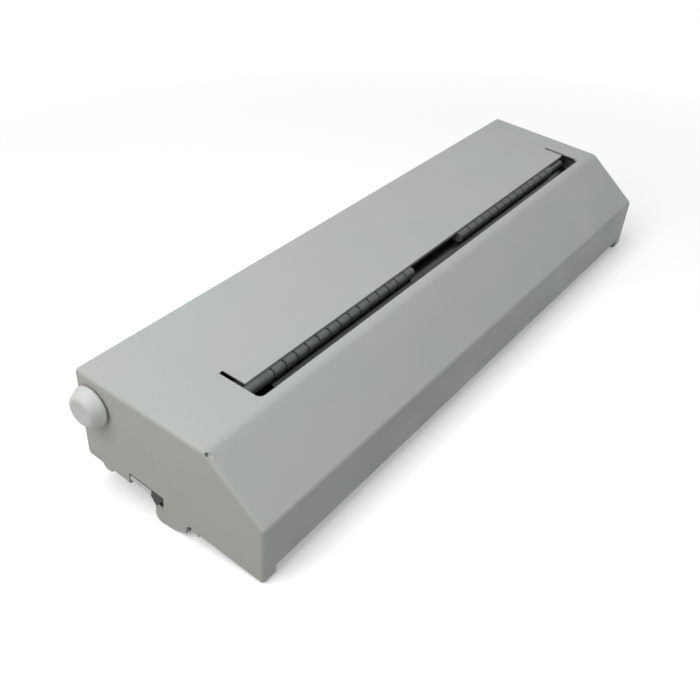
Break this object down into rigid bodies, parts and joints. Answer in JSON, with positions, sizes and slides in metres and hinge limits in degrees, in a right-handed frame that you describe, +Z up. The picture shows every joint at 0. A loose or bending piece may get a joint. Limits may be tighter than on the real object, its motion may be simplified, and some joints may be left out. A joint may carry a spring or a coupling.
{
  "type": "ecg machine",
  "caption": "Bar-shaped ecg chart recorder: five-sided housing on two round feet, top paper slot over a platen roller, side feed knob, release tab, geared motor and swinging print head.",
  "frame": {"origin": "middle of the bounding box, on the surface that the recorder stands on", "axes": "+X along the housing away from the feed knob, +Y from the front face to the rear, +Z up"},
  "size_m": [0.3032, 0.0862, 0.0536],
  "materials": {
    "housing": "fine-textured light grey moulded plastic",
    "tray": "dark moulded plastic",
    "pad": "dark rubber",
    "steel": "bright zinc-plated sheet",
    "screw": "zinc plated",
    "guide": "dark grey moulded plastic",
    "chute": "grey sheet",
    "bush": "dark graphite-filled plastic",
    "shaft": "ground steel",
    "platen": "ground black rubber",
    "gear": "natural acetal",
    "brass": "turned brass",
    "clip": "blackened spring steel",
    "can": "zinc-plated can",
    "knob": "white moulded plastic, satin",
    "sink": "extruded aluminium",
    "ceramic": "glazed ceramic",
    "board": "green circuit board",
    "chip": "black moulded packages",
    "spring": "spring wire",
    "socket": "dark moulded plastic",
    "cell": "sleeved battery cell"
  },
  "bodies": {
    "housing": {"cover_shell": "housing", "base_tray": "tray", "foot_pads": "pad", "tray_screws": "screw", "left_side_frame": "steel", "right_side_frame": "steel", "spring_rail": "steel", "guide_rail": "steel", "frame_screws": "screw", "guide_left": "guide", "guide_right": "guide", "guide_screws": "screw", "lower_chute": "chute", "upper_chute": "chute", "platen_bushes": "bush", "idler_axle": "shaft", "idler_clip": "clip", "motor_can": "can", "motor_screws": "screw", "knob_bushes": "gear", "pivot_rod": "shaft", "rod_clips": "clip", "head_springs": "spring", "paper_sensor": "chip", "main_board": "board", "board_screws": "screw", "input_shield": "can", "board_chips": "chip", "patient_socket": "socket", "power_jack": "chip", "data_socket": "can", "socket_screws": "screw", "battery_holder": "socket", "battery_cells": "cell"},
    "platen": {"platen_shaft": "shaft", "platen_rubber": "platen", "platen_gear": "gear", "platen_clips": "clip"},
    "idler": {"idler_gear": "gear"},
    "motor_rotor": {"motor_shaft": "shaft", "motor_pinion": "brass"},
    "knob": {"knob_shaft": "shaft", "knob_pinion": "gear", "feed_knob": "knob", "knob_clip": "clip"},
    "head": {"heat_sink": "sink", "print_head": "ceramic", "head_board": "board", "head_cover": "chip", "release_arm": "steel"},
    "release": {"release_slider": "knob"}
  },
  "joints": [
    {"name": "platen_spin", "type": "hinge", "parent": "housing", "child": "platen", "pos_m": [0.00315, -0.00648, 0.03546], "axis": [1, 0, 0], "continuous": true},
    {"name": "idler_spin", "type": "hinge", "parent": "housing", "child": "idler", "pos_m": [0.00315, 0.01249, 0.03252], "axis": [1, 0, 0], "continuous": true},
    {"name": "motor_spin", "type": "hinge", "parent": "housing", "child": "motor_rotor", "pos_m": [0.00315, 0.02601, 0.03747], "axis": [1, 0, 0], "continuous": true},
    {"name": "knob_spin", "type": "hinge", "parent": "housing", "child": "knob", "pos_m": [0.00315, 0.03313, 0.04134], "axis": [1, 0, 0], "continuous": true},
    {"name": "release_slide", "type": "slide", "parent": "housing", "child": "release", "axis": [0, -0.986, -0.1668], "range_m": [0, 0.006]},
    {"name": "head_pivot", "type": "hinge", "parent": "housing", "child": "head", "pos_m": [0.00315, 0.00132, 0.01751], "axis": [1, 0, 0], "range_deg": [0, 4], "deforming": ["head_springs"]}
  ],
  "couplings": [
    {"joint": "idler_spin", "follows": "platen_spin", "ratio": -0.88235},
    {"joint": "motor_spin", "follows": "platen_spin", "ratio": 2.1429},
    {"joint": "knob_spin", "follows": "platen_spin", "ratio": -2.3077},
    {"joint": "release_slide", "follows": "head_pivot", "m_per_rad": 0.085943}
  ]
}
